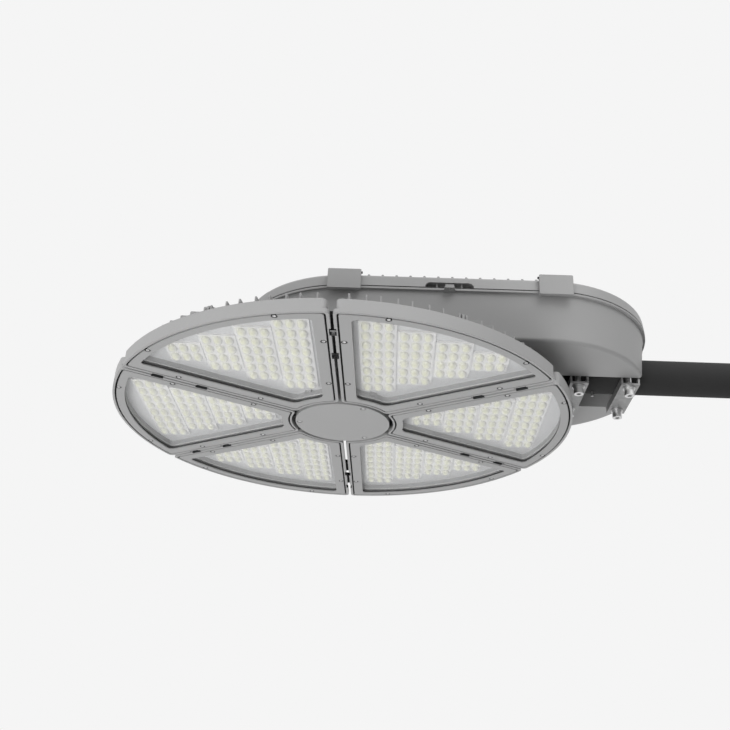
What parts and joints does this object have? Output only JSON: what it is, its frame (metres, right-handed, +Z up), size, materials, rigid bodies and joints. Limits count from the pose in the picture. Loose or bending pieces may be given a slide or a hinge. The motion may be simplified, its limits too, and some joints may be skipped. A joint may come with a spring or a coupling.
{
  "type": "led high mast light",
  "caption": "Round floodlight of wedge-shaped LED modules under an oval gear box with a hinged lid, clamped to a horizontal mast arm.",
  "frame": {"origin": "centre of the disc, on the plane of its front frames and centre cover", "axes": "+X along the mast arm towards its free end, +Z up from the lit face towards the gear box, +Y towards the lid's hinge side"},
  "size_m": [1.069, 0.7578, 0.1838],
  "materials": {
    "housing_paint": "satin grey powder coat",
    "frame_paint": "satin grey powder coat",
    "box_paint": "satin grey powder coat",
    "clear_glass": "clear toughened",
    "lens_plastic": "clear moulded",
    "board_white": "white solder mask",
    "grey_silicone": "matt",
    "black_rubber": "matt",
    "bright_steel": "stainless",
    "dark_steel": "black",
    "strap_zinc": "satin grey",
    "arm_paint": "satin dark grey",
    "tray_zinc": "bare sheet",
    "driver_case": "anodised",
    "gear_plastic": "moulded",
    "gland_plastic": "moulded"
  },
  "bodies": {
    "root": {"arm_pin": "bright_steel", "arm_saddles": "box_paint", "cable_gland": "gland_plastic", "carrier_bolts": "bright_steel", "centre_cover": "frame_paint", "centre_cover_screws": "bright_steel", "clamp_bolts": "bright_steel", "clamp_strap_inner": "strap_zinc", "clamp_strap_outer": "strap_zinc", "clamp_washers": "bright_steel", "frame_screws": "bright_steel", "frame_seals": "black_rubber", "gear_box_body": "box_paint", "gear_tray": "tray_zinc", "glass_gaskets": "grey_silicone", "hinge_pins": "bright_steel", "hub": "housing_paint", "led_driver_far": "driver_case", "led_driver_near": "driver_case", "lid_gasket": "black_rubber", "link_blocks": "dark_steel", "mast_arm": "arm_paint", "module_1_frame": "frame_paint", "module_1_glass": "clear_glass", "module_1_housing": "housing_paint", "module_1_led_boards": "board_white", "module_1_lens_plates": "lens_plastic", "module_2_frame": "frame_paint", "module_2_glass": "clear_glass", "module_2_housing": "housing_paint", "module_2_led_boards": "board_white", "module_2_lens_plates": "lens_plastic", "module_3_frame": "frame_paint", "module_3_glass": "clear_glass", "module_3_housing": "housing_paint", "module_3_led_boards": "board_white", "module_3_lens_plates": "lens_plastic", "module_4_frame": "frame_paint", "module_4_glass": "clear_glass", "module_4_housing": "housing_paint", "module_4_led_boards": "board_white", "module_4_lens_plates": "lens_plastic", "module_5_frame": "frame_paint", "module_5_glass": "clear_glass", "module_5_housing": "housing_paint", "module_5_led_boards": "board_white", "module_5_lens_plates": "lens_plastic", "module_6_frame": "frame_paint", "module_6_glass": "clear_glass", "module_6_housing": "housing_paint", "module_6_led_boards": "board_white", "module_6_lens_plates": "lens_plastic", "surge_protector": "gear_plastic", "terminal_block": "gear_plastic"},
    "lid": {"gear_box_lid": "box_paint", "clip_pins": "dark_steel"},
    "clip_left": {"clip_left": "box_paint"},
    "clip_right": {"clip_right": "box_paint"}
  },
  "joints": [
    {"name": "lid_hinge", "type": "hinge", "parent": "root", "child": "lid", "pos_m": [0.166, 0.19535, 0.158], "axis": [-1, 0, 0], "range_deg": [0, 95]},
    {"name": "clip_left_pivot", "type": "hinge", "parent": "lid", "child": "clip_left", "pos_m": [0.001, -0.19075, 0.1796], "axis": [-1, 0, 0], "range_deg": [0, 100]},
    {"name": "clip_right_pivot", "type": "hinge", "parent": "lid", "child": "clip_right", "pos_m": [0.3334, -0.19075, 0.1796], "axis": [-1, 0, 0], "range_deg": [0, 100]}
  ]
}
